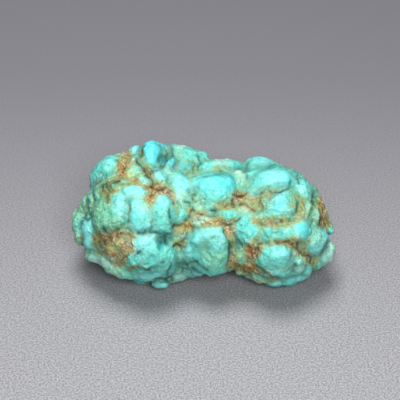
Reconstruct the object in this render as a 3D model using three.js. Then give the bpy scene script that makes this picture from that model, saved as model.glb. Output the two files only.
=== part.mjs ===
// A raw turquoise nugget: one natural stone of two knobbly lobes that meet at a waist.
// Millimetres, +Z up, long axis along X. The stone lies on small worn flats under its lobes; the
// origin is on that plane, below the middle of its box. Its broad front face leans back from -Y.
import * as THREE from "three";

// Driving dimensions.
const LENGTH = 42; // overall, along X
const CELL = 1.03; // spacing of the lattice that the surface is cut from
const FACE_CENTRE_HEIGHT = 10.1; // of the middle of the front face's plane
const FACE_TILT = THREE.MathUtils.degToRad(35); // how far the front face leans back from upright
const BODY_FILLET = 2.5; // how widely the lobes run into each other
const KNOB_FILLET = 0.5; // how widely neighbouring knobs run into each other
const SINK = 0.45; // share of its height by which a knob's centre lies under the body's surface
const KNOB_OVERLAP = 1.18; // how much wider a knob is than the part of it that stands clear
const KNOB_LIFT = 1.15; // how much taller, likewise
const FOOT_WEAR = 0.35; // how much of each foot is worn flat
const FLAT_SNAP = 0.3; // a corner this near the resting plane lies on it
const RELAX_PASSES = 3;
const EVENING = 0.35; // share of the way to its neighbours' middle that a vertex goes in a pass
const FREEDOM = 0.45; // how far, in cells, a vertex may end from where it began
const PROBE = 0.05; // half the span over which the surface's slope is taken
const FILLED = 0.3; // how far inside the stone a closed-off gap is taken to be

// The lobes under the knobs: centre, then half sizes, along X, Y and Z.
const LOBES = [
  [-9.6, 0.9, 9.8, 9.6, 11.6, 8.9], // left
  [11.4, -0.6, 9.2, 7.9, 10.4, 8.1], // right
  [2.2, 0.5, 10.0, 8.0, 9.2, 7.4], // waist
];

// Knobs of the front face: place along the stone and up the face, half length, half width, turn in
// degrees from along, height.
const FRONT_KNOBS = [
  // left lobe, crown
  [-15.8, 7.1, 2.5, 1.7, 45, 1.7],
  [-12.8, 8.9, 1.4, 1.1, 30, 0.9],
  [-10.9, 9.8, 1.4, 1.0, 75, 1.1],
  [-7.9, 9.6, 2.1, 1.8, 95, 2.0],
  [-8.2, 7.9, 1.2, 1.3, 90, 1.2],
  [-11.0, 7.5, 1.4, 1.1, 60, 0.9],
  // left lobe, middle
  [-9.4, 5.2, 0.95, 1.05, 0, 0.9],
  [-16.4, 4.3, 1.2, 1.0, 20, 0.9],
  [-14.0, 4.2, 1.5, 1.1, 0, 0.8],
  [-16.6, 2.5, 0.8, 1.6, 0, 1.0],
  [-18.7, 2.0, 1.2, 1.1, 0, 1.2],
  [-15.0, 0.0, 1.9, 2.4, 10, 1.9],
  [-13.2, 1.7, 1.5, 1.7, 0, 1.6],
  [-10.6, 3.2, 1.3, 0.9, -20, 0.9],
  [-10.7, 0.4, 1.5, 1.6, 0, 1.5],
  [-10.2, -1.7, 1.5, 1.0, 0, 1.1],
  [-7.3, 5.8, 1.15, 1.6, 10, 1.3],
  [-6.7, 0.2, 1.5, 3.1, 0, 1.7],
  [-19.9, -0.6, 1.0, 1.5, 0, 1.3],
  [-18.0, -3.0, 1.15, 2.2, 0, 1.6],
  // left lobe, foot
  [-18.4, -5.3, 1.1, 1.0, 0, 1.0],
  [-17.0, -6.3, 1.5, 1.15, -10, 1.2],
  [-13.5, -8.2, 1.5, 1.1, -30, 1.2],
  [-11.2, -8.3, 1.3, 1.2, 0, 1.2],
  [-8.9, -4.6, 2.6, 1.9, 10, 2.0],
  [-7.4, -6.0, 2.0, 2.0, 0, 1.8],
  [-10.4, -6.5, 1.8, 1.9, 0, 1.9],
  [-8.0, -8.8, 2.9, 1.4, 5, 1.7],
  [-6.7, -10.5, 1.6, 1.0, 0, 1.3],
  // waist, crown
  [-3.2, 9.2, 2.4, 1.9, 0, 1.9],
  [-1.0, 8.3, 1.5, 1.6, 0, 1.3],
  [0.3, 7.7, 1.5, 1.6, 0, 1.2],
  [4.8, 7.3, 1.7, 1.4, 0, 1.5],
  [-4.6, 6.8, 1.6, 1.1, 0, 1.0],
  // waist, middle
  [-4.0, 4.4, 1.25, 2.3, 0, 1.3],
  [-1.6, 4.9, 1.5, 1.1, 0, 1.1],
  [2.1, 4.1, 2.8, 2.4, 5, 2.3],
  [-1.2, 1.8, 0.95, 1.35, 0, 1.1],
  [-3.8, 0.0, 1.35, 1.3, 0, 1.3],
  [2.8, 1.7, 1.8, 0.9, 10, 0.9],
  [6.1, 1.1, 1.4, 1.0, 0, 1.1],
  [4.1, 0.0, 1.55, 1.15, 0, 1.2],
  // waist, foot
  [-3.7, -2.7, 1.25, 1.2, 0, 1.1],
  [-0.4, -0.8, 1.7, 1.0, 0, 1.1],
  [0.6, -3.6, 2.1, 2.2, 0, 2.2],
  [2.4, -4.6, 1.7, 2.2, 0, 1.9],
  [0.9, -6.4, 2.5, 2.3, 0, 2.0],
  [-2.4, -5.2, 1.4, 1.5, 0, 1.3],
  [-4.3, -6.0, 1.1, 1.3, 0, 1.0],
  [-4.2, -8.8, 2.0, 1.4, 10, 1.4],
  // right lobe, crown
  [8.8, 7.5, 2.1, 1.8, 0, 1.9],
  [12.0, 7.0, 1.6, 1.1, -15, 1.2],
  [10.0, 5.1, 2.2, 1.25, 12, 1.5],
  [12.2, 5.6, 1.9, 1.35, 5, 1.6],
  [7.8, 4.0, 1.1, 1.2, 0, 1.0],
  [16.2, 4.2, 1.2, 1.6, 25, 1.3],
  // right lobe, middle
  [11.6, 1.8, 1.7, 2.3, -10, 1.9],
  [13.2, 3.5, 1.2, 1.0, 0, 1.0],
  [14.2, 1.5, 0.95, 1.7, -20, 1.1],
  [15.8, 0.8, 1.0, 1.7, 0, 1.0],
  [17.7, 0.0, 0.9, 1.35, 0, 1.2],
  [19.2, 0.8, 1.1, 2.0, 0, 1.1],
  [6.7, -1.6, 2.0, 1.9, 0, 1.8],
  [7.6, -2.8, 1.4, 1.4, 0, 1.3],
  [9.9, -1.4, 1.0, 1.5, 0, 0.9],
  [12.8, -2.5, 1.5, 1.15, 0, 1.2],
  [15.1, -1.9, 1.35, 1.4, 0, 1.4],
  [18.0, -3.7, 2.3, 1.8, 35, 1.8],
  [19.8, -5.4, 1.5, 1.0, 50, 1.1],
  // right lobe, foot
  [11.2, -6.4, 2.5, 2.3, 0, 2.2],
  [12.6, -5.4, 1.5, 1.4, 0, 1.4],
  [11.8, -8.6, 1.9, 1.3, 0, 1.4],
  [14.3, -7.1, 1.05, 1.9, 5, 1.3],
  [16.1, -7.9, 1.15, 1.5, 10, 1.4],
  [14.4, -9.6, 2.0, 1.4, 35, 1.5],
  [18.0, -7.2, 1.4, 1.0, 30, 1.0],
  [11.3, -10.2, 1.3, 0.85, 0, 1.1],
  [8.8, -9.3, 1.6, 1.05, -15, 1.2],
  [5.9, -6.6, 1.1, 2.0, 0, 0.9],
];

// Balls under the stone that carry it: x, y, radius.
const FEET = [
  [-6.8, -4.4, 1.6],
  [-9.5, -3.0, 2.4],
  [-8.0, 6.0, 3.4],
  [13.6, -4.4, 1.6],
  [11.0, -4.3, 1.4],
  [11.5, 3.8, 3.2],
];

// Knobs of the back and underside, spread on a spiral around the stone, with seeded sizes.
const SPIRAL_PLACES = 150;
const SPIRAL_SPINE = 9.5; // half the length of the line inside the stone that the spiral surrounds
const BACK_KNOB_HALF_LENGTH = [1.5, 2.9];
const BACK_KNOB_FLATNESS = [0.5, 0.75];
const BACK_KNOB_WIDTH = 0.85; // of its length
const SEED = 11;

// Axes of the front face: along the stone, up the leaning face, and out of it.
const ALONG = new THREE.Vector3(1, 0, 0);
const UP_FACE = new THREE.Vector3(0, Math.sin(FACE_TILT), Math.cos(FACE_TILT));
const OUT_OF_FACE = new THREE.Vector3(0, -Math.cos(FACE_TILT), Math.sin(FACE_TILT));
const UPRIGHT = [ALONG, new THREE.Vector3(0, 1, 0), new THREE.Vector3(0, 0, 1)];
const REACH = 24; // farther from the middle than any of the stone

// A gentle bend of space, so that no knob is a perfect ellipsoid.
const BEND = 0.32;
const RIPPLE = 0.07;
function bend({ x, y, z }) {
  return new THREE.Vector3(
    x + BEND * Math.sin(0.55 * y + 0.35 * z + 0.4) + RIPPLE * Math.sin(1.3 * z - 1.5 * y + 1.1),
    y + BEND * Math.sin(0.5 * z - 0.4 * x + 2.1) + RIPPLE * Math.sin(1.6 * x + 1.2 * z + 0.3),
    z + BEND * Math.sin(0.6 * x + 0.3 * y + 4.0) + RIPPLE * Math.sin(1.4 * y - 1.3 * x + 2.6),
  );
}

// The lesser of two distances, rounded off where they are nearly equal.
function blend(a, b, width) {
  const near = Math.max(width - Math.abs(a - b), 0) / width;
  return Math.min(a, b) - near * near * width * 0.25;
}

// A function that gives the distance of a point from an ellipsoid, close to true near its surface.
function ellipsoid(centre, axes, radii) {
  const offset = new THREE.Vector3();
  return (point) => {
    offset.subVectors(point, centre);
    let reach = 0;
    let slope = 0;
    for (let i = 0; i < 3; i += 1) {
      const share = offset.dot(axes[i]) / radii[i];
      reach += share * share;
      slope += (share / radii[i]) ** 2;
    }
    const size = Math.sqrt(reach);
    return (size * (size - 1)) / (Math.sqrt(slope) + 1e-6);
  };
}

const lobes = LOBES.map(([x, y, z, ...radii]) =>
  ellipsoid(new THREE.Vector3(x, y, z), UPRIGHT, radii),
);

function bodyDistance(point) {
  return lobes
    .map((lobe) => lobe(point))
    .reduce((nearest, distance) => blend(nearest, distance, BODY_FILLET));
}

// The first place on the body met by going from start along direction; if none, the nearest one.
function meetBody(start, direction) {
  const place = start.clone();
  let closest = { distance: Infinity, place };
  for (let gone = 0; gone < 2 * REACH; ) {
    const distance = bodyDistance(place);
    if (distance < closest.distance) closest = { distance, place: place.clone() };
    if (distance < 0.02) return closest;
    const step = Math.max(0.7 * distance, 0.05);
    place.addScaledVector(direction, step);
    gone += step;
  }
  return closest;
}

function frontKnob([along, up, halfLength, halfWidth, turn, height]) {
  const start = new THREE.Vector3(0, 0, FACE_CENTRE_HEIGHT)
    .addScaledVector(ALONG, along)
    .addScaledVector(UP_FACE, up)
    .addScaledVector(OUT_OF_FACE, REACH);
  const found = meetBody(start, OUT_OF_FACE.clone().negate());
  const overlap = found.distance < 0.05 ? KNOB_OVERLAP : 1;
  const angle = THREE.MathUtils.degToRad(turn);
  const longAxis = ALONG.clone().multiplyScalar(Math.cos(angle));
  longAxis.addScaledVector(UP_FACE, Math.sin(angle));
  const shortAxis = OUT_OF_FACE.clone().cross(longAxis);
  const centre = found.place.addScaledVector(OUT_OF_FACE, -SINK * height);
  const radii = [halfLength * overlap, halfWidth * overlap, height * KNOB_LIFT];
  return ellipsoid(bend(centre), [longAxis, shortAxis, OUT_OF_FACE], radii);
}

function foot([x, y, radius]) {
  const centre = new THREE.Vector3(x, y, radius - FOOT_WEAR);
  return ellipsoid(bend(centre), UPRIGHT, [radius, radius, radius]);
}

// A repeatable stream of numbers from 0 to 1 (mulberry32).
function seeded(seed) {
  let state = seed;
  return () => {
    state = (state + 0x6d2b79f5) | 0;
    let mixed = Math.imul(state ^ (state >>> 15), 1 | state);
    mixed = (mixed + Math.imul(mixed ^ (mixed >>> 7), 61 | mixed)) ^ mixed;
    return ((mixed ^ (mixed >>> 14)) >>> 0) / 2 ** 32;
  };
}

function backKnob(direction, halfLength, flatness) {
  const spine = new THREE.Vector3(SPIRAL_SPINE * direction.x, 0, FACE_CENTRE_HEIGHT);
  const start = spine.addScaledVector(direction, REACH);
  const { place } = meetBody(start, direction.clone().negate());
  const height = halfLength * flatness;
  const side = UPRIGHT[2].clone().cross(direction).normalize();
  const centre = place.addScaledVector(direction, -SINK * height);
  const radii = [halfLength, halfLength * BACK_KNOB_WIDTH, height];
  return ellipsoid(bend(centre), [side, direction.clone().cross(side), direction], radii);
}

function backKnobs() {
  const random = seeded(SEED);
  const goldenAngle = Math.PI * (3 - Math.sqrt(5));
  const knobs = [];
  for (let i = 0; i < SPIRAL_PLACES; i += 1) {
    const across = 1 - (2 * (i + 0.5)) / SPIRAL_PLACES;
    const ring = Math.sqrt(1 - across * across);
    const turn = i * goldenAngle;
    const direction = new THREE.Vector3(across, ring * Math.cos(turn), ring * Math.sin(turn));
    const halfLength = THREE.MathUtils.lerp(...BACK_KNOB_HALF_LENGTH, random());
    const flatness = THREE.MathUtils.lerp(...BACK_KNOB_FLATNESS, random());
    if (direction.dot(OUT_OF_FACE) < 0) knobs.push(backKnob(direction, halfLength, flatness));
  }
  return knobs;
}

// The stone's surface is where this is zero: negative inside, positive outside.
const knobs = [...FRONT_KNOBS.map(frontKnob), ...FEET.map(foot), ...backKnobs()];
function stoneDistance(point) {
  const bent = bend(point);
  const inBody = bodyDistance(bent);
  const inKnobs = knobs.reduce((nearest, knob) => blend(nearest, knob(bent), KNOB_FILLET), inBody);
  return Math.max(inKnobs, -point.z);
}

const CELL_CORNERS = [0, 1, 2, 3, 4, 5, 6, 7].map((n) => [n & 1, (n >> 1) & 1, n >> 2]);
const CELL_EDGES = [0, 1, 2, 3, 4, 5, 6, 7].flatMap((a) =>
  [1, 2, 4].filter((bit) => !(a & bit)).map((bit) => [a, a | bit]),
);
const CELL_FACES = [1, 2, 4].flatMap((bit) => {
  const [u, v] = [1, 2, 4].filter((other) => other !== bit);
  return [0, bit].map((side) => [side, side | u, side | u | v, side | v]);
});

// Fills the gaps between knobs that the open air does not reach; gives how many points changed.
function fillClosedGaps({ counts, distances }) {
  const reached = new Uint8Array(distances.length);
  const strides = [counts[1] * counts[2], counts[2], 1];
  const waiting = [0];
  reached[0] = 1;
  while (waiting.length > 0) {
    const here = waiting.pop();
    for (const next of strides.flatMap((stride) => [here - stride, here + stride])) {
      if (next < 0 || next >= reached.length || reached[next] || distances[next] < 0) continue;
      reached[next] = 1;
      waiting.push(next);
    }
  }
  let filled = 0;
  for (let n = 0; n < distances.length; n += 1) {
    if (distances[n] < 0 || reached[n]) continue;
    distances[n] = -FILLED;
    filled += 1;
  }
  return filled;
}

// Whether the corners of a cell that pass a test hang together along its edges.
function hangTogether(corners) {
  const group = [corners[0]];
  for (const member of group) {
    for (const [a, b] of CELL_EDGES) {
      const next = member === a ? b : a;
      if ((member === a || member === b) && corners.includes(next) && !group.includes(next)) {
        group.push(next);
      }
    }
  }
  return group.length === corners.length;
}

// Whether the surface would pinch to a line or a point in a cell with these corners inside.
function isPinched(inside) {
  const crossed = CELL_FACES.some(
    ([a, b, c, d]) => inside[a] === inside[c] && inside[b] === inside[d] && inside[a] !== inside[b],
  );
  const [solid, air] = [true, false].map((side) => [0, 1, 2, 3, 4, 5, 6, 7].filter((n) => inside[n] === side));
  return crossed || !hangTogether(solid) || !hangTogether(air);
}

// Fills the nearest outside corner of each cell that pinches; gives how many points changed.
function fillPinches({ counts, at, distances }) {
  let filled = 0;
  for (let i = 0; i < counts[0] - 1; i += 1) {
    for (let j = 0; j < counts[1] - 1; j += 1) {
      for (let k = 0; k < counts[2] - 1; k += 1) {
        const points = CELL_CORNERS.map(([a, b, c]) => at(i + a, j + b, k + c));
        const inside = points.map((point) => distances[point] < 0);
        if (!inside.includes(true) || !inside.includes(false) || !isPinched(inside)) continue;
        const outside = points.filter((point, n) => !inside[n]);
        outside.sort((a, b) => distances[a] - distances[b]);
        distances[outside[0]] = -FILLED;
        filled += 1;
      }
    }
  }
  return filled;
}

// A lattice of distances around the stone, half a cell off the resting plane, with its closed gaps
// and pinches filled.
function lattice() {
  const low = new THREE.Vector3(-REACH, -0.75 * REACH, -1.5 * CELL);
  const counts = [2 * REACH, 1.5 * REACH, REACH + CELL].map((side) => Math.ceil(side / CELL) + 1);
  const at = (i, j, k) => (i * counts[1] + j) * counts[2] + k;
  const corner = (i, j, k) => new THREE.Vector3(i, j, k).multiplyScalar(CELL).add(low);
  const distances = new Float64Array(counts[0] * counts[1] * counts[2]);
  for (let i = 0; i < counts[0]; i += 1) {
    for (let j = 0; j < counts[1]; j += 1) {
      for (let k = 0; k < counts[2]; k += 1) distances[at(i, j, k)] = stoneDistance(corner(i, j, k));
    }
  }
  const field = { counts, at, corner, distances };
  while (fillClosedGaps(field) + fillPinches(field) > 0);
  return field;
}

// The middle of the places where the surface cuts a cell's edges, or null where it cuts none.
function cellVertex({ at, corner, distances }, i, j, k) {
  const values = CELL_CORNERS.map(([a, b, c]) => distances[at(i + a, j + b, k + c)]);
  const cut = CELL_EDGES.filter(([a, b]) => values[a] < 0 !== values[b] < 0);
  if (cut.length === 0) return null;
  const sum = new THREE.Vector3();
  for (const [a, b] of cut) {
    const [from, to] = [a, b].map((n) => corner(...CELL_CORNERS[n].map((d, m) => d + [i, j, k][m])));
    sum.add(from.lerp(to, values[a] / (values[a] - values[b])));
  }
  return sum.divideScalar(cut.length);
}

// Each lattice edge that the surface cuts gets a quad through the four cells around it.
function surfaceNet(field) {
  const { counts, at, distances } = field;
  const numbers = new Map();
  const positions = [];
  const vertexOf = (i, j, k) => {
    const key = at(i, j, k);
    if (!numbers.has(key)) {
      numbers.set(key, positions.length / 3);
      positions.push(...cellVertex(field, i, j, k).toArray());
    }
    return numbers.get(key);
  };
  const triangles = [];
  for (let i = 1; i < counts[0] - 1; i += 1) {
    for (let j = 1; j < counts[1] - 1; j += 1) {
      for (let k = 1; k < counts[2] - 1; k += 1) {
        const inside = distances[at(i, j, k)] < 0;
        for (let axis = 0; axis < 3; axis += 1) {
          const step = [0, 1, 2].map((n) => (n === axis ? 1 : 0));
          if (inside === distances[at(i + step[0], j + step[1], k + step[2])] < 0) continue;
          const u = [0, 1, 2].map((n) => (n === (axis + 1) % 3 ? 1 : 0));
          const v = [0, 1, 2].map((n) => (n === (axis + 2) % 3 ? 1 : 0));
          const ring = [[0, 0], [1, 0], [1, 1], [0, 1]].map(([a, b]) =>
            vertexOf(i - a * u[0] - b * v[0], j - a * u[1] - b * v[1], k - a * u[2] - b * v[2]),
          );
          if (!inside) ring.reverse();
          triangles.push(ring[0], ring[1], ring[2], ring[0], ring[2], ring[3]);
        }
      }
    }
  }
  const geometry = new THREE.BufferGeometry();
  geometry.setAttribute("position", new THREE.Float32BufferAttribute(positions, 3));
  geometry.setIndex(triangles);
  return geometry;
}

// How the distance changes per millimetre along each axis.
function slopeAt(point) {
  const change = (axis) =>
    stoneDistance(point.clone().addScaledVector(axis, PROBE)) -
    stoneDistance(point.clone().addScaledVector(axis, -PROBE));
  return new THREE.Vector3(...UPRIGHT.map((axis) => change(axis) / (2 * PROBE)));
}

// The vertices that each vertex shares a triangle with.
function neighboursOf(geometry) {
  const corners = geometry.index.array;
  const neighbours = Array.from({ length: geometry.getAttribute("position").count }, () => new Set());
  for (let n = 0; n < corners.length; n += 3) {
    const triangle = [corners[n], corners[n + 1], corners[n + 2]];
    for (const a of triangle) for (const b of triangle) if (a !== b) neighbours[a].add(b);
  }
  return neighbours;
}

// Evens out the net and moves it onto the true surface, never far from where it was cut.
function relax(geometry) {
  const places = geometry.getAttribute("position");
  const vector = (n) => new THREE.Vector3().fromBufferAttribute(places, n);
  const first = Array.from({ length: places.count }, (_, n) => vector(n));
  const neighbours = neighboursOf(geometry);
  for (let pass = 0; pass < RELAX_PASSES; pass += 1) {
    const moved = neighbours.map((around, n) => {
      const mean = new THREE.Vector3();
      for (const m of around) mean.add(vector(m));
      const point = vector(n).lerp(mean.divideScalar(around.size), EVENING);
      const slope = slopeAt(point);
      point.addScaledVector(slope, -stoneDistance(point) / Math.max(slope.lengthSq(), 0.5));
      return point.sub(first[n]).clampLength(0, FREEDOM * CELL).add(first[n]);
    });
    moved.forEach((point, n) => places.setXYZ(n, point.x, point.y, point.z));
  }
  return geometry;
}

// Puts the stone's length right, its lowest corners on the resting plane and its box about the origin.
function settle(geometry) {
  const places = geometry.getAttribute("position");
  for (let i = 0; i < places.count; i += 1) {
    if (places.getZ(i) < FLAT_SNAP) places.setZ(i, 0);
  }
  geometry.computeBoundingBox();
  const scale = LENGTH / (geometry.boundingBox.max.x - geometry.boundingBox.min.x);
  const middle = geometry.boundingBox.getCenter(new THREE.Vector3());
  geometry.translate(-middle.x, -middle.y, 0);
  geometry.scale(scale, scale, scale);
  geometry.computeVertexNormals();
  return geometry;
}

const turquoise = new THREE.MeshStandardMaterial({
  color: new THREE.Color(0.3, 0.72, 0.69),
  roughness: 0.5,
  metalness: 0,
});

const nugget = new THREE.Mesh(settle(relax(surfaceNet(lattice()))), turquoise);
nugget.name = "turquoise_nugget";

const stone = new THREE.Group();
stone.add(nugget);
export default stone;
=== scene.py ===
"""A raw turquoise nugget on a plain pale floor. Shapes are in millimetres, Blender works in metres.

The stone's shape is a field of distances: three lobes that run into each other, with knobs all over them.
Places on the front face are given as (along, up): along the stone, and up the face, which leans back.
"""

import math

import bpy
import numpy as np
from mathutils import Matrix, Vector, noise

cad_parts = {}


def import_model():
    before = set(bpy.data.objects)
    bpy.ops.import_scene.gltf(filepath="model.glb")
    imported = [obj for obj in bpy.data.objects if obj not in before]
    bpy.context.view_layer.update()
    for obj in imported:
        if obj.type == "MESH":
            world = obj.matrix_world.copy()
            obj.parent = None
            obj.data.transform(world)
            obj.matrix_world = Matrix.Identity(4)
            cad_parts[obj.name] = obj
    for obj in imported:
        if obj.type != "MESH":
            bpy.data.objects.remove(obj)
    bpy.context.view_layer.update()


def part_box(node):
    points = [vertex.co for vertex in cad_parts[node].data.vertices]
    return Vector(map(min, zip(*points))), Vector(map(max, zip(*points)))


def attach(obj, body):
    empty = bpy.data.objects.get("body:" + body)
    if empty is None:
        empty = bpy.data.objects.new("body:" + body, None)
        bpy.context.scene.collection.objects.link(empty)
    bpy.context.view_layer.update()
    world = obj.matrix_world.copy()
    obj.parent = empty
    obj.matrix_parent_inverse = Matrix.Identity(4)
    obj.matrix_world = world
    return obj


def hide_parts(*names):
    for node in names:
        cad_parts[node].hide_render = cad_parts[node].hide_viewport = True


MM = 0.001
TENTH = 0.1
NODE = "turquoise_nugget"
SEED = 11

# The front face leans back by the camera's height above the horizon, so the two match.
FACE_TILT = math.radians(35)
FACE_CENTRE = np.array([0, 0, 10.1])
ALONG = np.array([1.0, 0.0, 0.0])
UP_FACE = np.array([0.0, math.sin(FACE_TILT), math.cos(FACE_TILT)])
OUT_OF_FACE = np.array([0.0, -math.cos(FACE_TILT), math.sin(FACE_TILT)])

# Camera: the point of the front face's plane that it looks at, its distance and lens.
CAMERA_ALONG = -0.48
CAMERA_UP = 2.62
CAMERA_DISTANCE = 265.0
LENS = 150
SENSOR = 36
CLIP_START = 0.01
CLIP_END = 20

# Soft lights, in metres: place, the point that each faces, width and height, watts.
KEY_LIGHT = ((-0.02, 0.0, 0.33), (0, 0, 0), (0.18, 0.14), 1.2)
FRONT_LIGHT = ((0.03, -0.245, 0.205), (0, 0, 0.01), (0.14, 0.08), 0.85)
WORLD_COLOUR = (0.78, 0.8, 0.84, 1)
WORLD_STRENGTH = 0.03

# Floor: the darkest and lightest of its fine grain near the camera and far from it, and where along Y, in
# metres, the one gives way to the other. The floor darker far off is painted shade, the light's falloff.
FLOOR_HALF = 3.0
FLOOR_NEAR = ((112, 112, 116), (168, 168, 171))
FLOOR_FAR = ((100, 99, 105), (134, 133, 139))
FLOOR_SHADE_FADE = (-0.03, 0.07)
FLOOR_ROUGHNESS = 0.85

# The lattice that the stone is made on.
GRID = 0.21
LATTICE_LOW = np.array([-22.5, -15.5, -1.0])
LATTICE_HIGH = np.array([22.5, 15.5, 22.0])
FAR = 9.0  # a distance that stands for anywhere farther
WINDOW_MARGIN = 1.5  # how far round a lump its join with the stone is worked out
LUMP_MARGIN = 1.6  # how far round a lump its tone can reach
SMALL_MARGIN = 0.6  # the same for a pebble or grain

# How lobes and knobs are joined.
BODY_FILLET = 2.5  # between lobes
LUMP_FILLET = 2.0  # between the knobs of one lump
KNOB_FILLET = 0.9  # between lumps
SINK = 0.8  # depth of a knob's centre, as a share of its height
KNOB_OVERLAP = 1.3  # how much a knob on the open face is widened, so that it meets its neighbours
OVERLAP_RISE = 1.3  # how soon that begins, away from the outline
KNOB_LIFT = 1.5  # how much a front knob is heightened, to make up for the fillets
FOOT_WEAR = 0.35  # how far the round of a foot reaches below the resting plane
SQUARENESS = 2.1  # 2 is an ellipsoid; more has flatter tops and steeper sides
BENDS = [(6.0, 0.4), (2.6, 0.22), (1.2, 0.12), (0.75, 0.06)]  # lump size, shift

# Marching towards the body: start, gap that counts as met, distance that counts as near, the step there
# as a share of the distance, and the step farther off.
MARCH_START = 14.0
MARCH_MET = 0.02
MARCH_NEAR = 3.0
MARCH_SHARE = 0.7
MARCH_STEP = 1.5
BACK_START = 10.0  # how far from the stone's spine the middle of a back knob's path is

# Small lumps scattered over the stone: count, least and greatest half length, fillet.
PEBBLES = (220, (0.5, 1.15), 0.2)
GRAINS = (1800, (0.22, 0.5), 0.1)
SMALL_WIDTH = (0.6, 1.0)  # shares of the half length
SMALL_HEIGHT = (0.6, 0.9)
SMALL_SINK = 0.5
EARTHY_STAIN = 0.45  # matrix strength above which small lumps are earthy

# Relief finer than the knobs, laid on the finished surface: feature size, height.
SWELLS = (1.6, 0.17)
RIPPLES = (0.7, 0.03)
ROUGH_RIPPLES = 0.08  # more height where the stone is rough
GRIT = (0.6, 0.15)  # on matrix only
CELLS = [(1.4, 0.12, 0.10), (0.7, 0.07, 0.06)]  # size, height of the tops, depth of the cracks
CRACK_WIDTH = 0.1  # a share of a cell
GROOVE = 0.08  # depth of every join of two lumps
GROOVE_WIDTH = 0.15

BUMP = 0.5 * MM  # height of the shading's fine relief

# How knob tones, creases and hollows are laid on.
RIM_REACH = 1.5  # how far from a knob's edge its edge colours can reach
TONE_SOFTNESS = 0.12  # how far tones of neighbouring lumps run into each other
LUMP_SOFTNESS = 0.36  # the same between the knobs of one lump
CREASE_TONE = 0.96  # how strongly its tone covers a crease
CREASE_HALO = 0.22  # how strongly a crease tints the stone beside it
CREASE_DEPTH = 0.55  # millimetres, for a listed depth of 1
HOLLOW_DEPTH = 0.6  # millimetres, under a patch of a hollow's tone
HEIGHTS_ABOVE = (0.4, 0.9, 1.8)  # where the openness above a point is measured

# Lobes of the body: X, Y, Z and half sizes.
LOBES = [
    (-9.4, 0.9, 9.7, 9.3, 11.4, 8.7),
    (11.3, -0.6, 9.1, 7.7, 10.2, 8.0),
    (2.2, 0.5, 10.0, 8.0, 9.1, 7.3),
]

# Tones of the stone and of its matrix, as sRGB.
TURQUOISE = (96, 204, 190)
BLUE = (84, 210, 214)
SKY = (124, 222, 218)
AZURE = (92, 222, 228)
GREEN = (110, 188, 152)
PALE = (146, 208, 172)
CREAM = (184, 204, 152)
DEEP = (48, 158, 152)
OLIVE = (132, 142, 86)
SAND = (206, 190, 150)
ROSE = (222, 186, 162)
OCHRE = (190, 126, 46)
UMBER = (110, 64, 24)
RUST = (160, 84, 30)
BARK = (44, 30, 12)
MOSS = (78, 92, 44)
# painted shade: the near-black of narrow crevices
CREVICE_SHADE = (18, 52, 38)
TEAL = (12, 84, 82)
CLOUD = (168, 222, 204)
# tones of hollows: partly the stone's own deep colour, partly painted shade
HOLLOW_TONES = (TEAL, DEEP)

# Tones that the material mixes in, as sRGB.
KNOB_EDGE = (96, 164, 130)
PALE_BLOTCH = (130, 200, 172)
DEEP_BLOTCH = (46, 150, 144)
LIGHT_FLECK = (196, 226, 196)
DARK_FLECK = (40, 112, 86)
# painted shade, laid into creases by how shut in they are
CREASE_PAINTED_SHADE = (22, 84, 74)
MATRIX_FRINGE = (138, 168, 108)
MATRIX_EDGE = (150, 132, 62)

# The two kinds of matrix: place on the ramp, sRGB.
BROWN_MATRIX = [(0.38, (24, 14, 4)), (0.45, (112, 56, 14)), (0.50, (160, 98, 26)),
                (0.55, (176, 146, 84)), (0.61, (236, 216, 196))]
GOLD_MATRIX = [(0.38, (34, 30, 6)), (0.46, (122, 94, 24)), (0.54, (178, 142, 54)),
               (0.62, (218, 204, 150))]

# The next four lists are of the front face, with their lengths and places in tenths of a millimetre.

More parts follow.
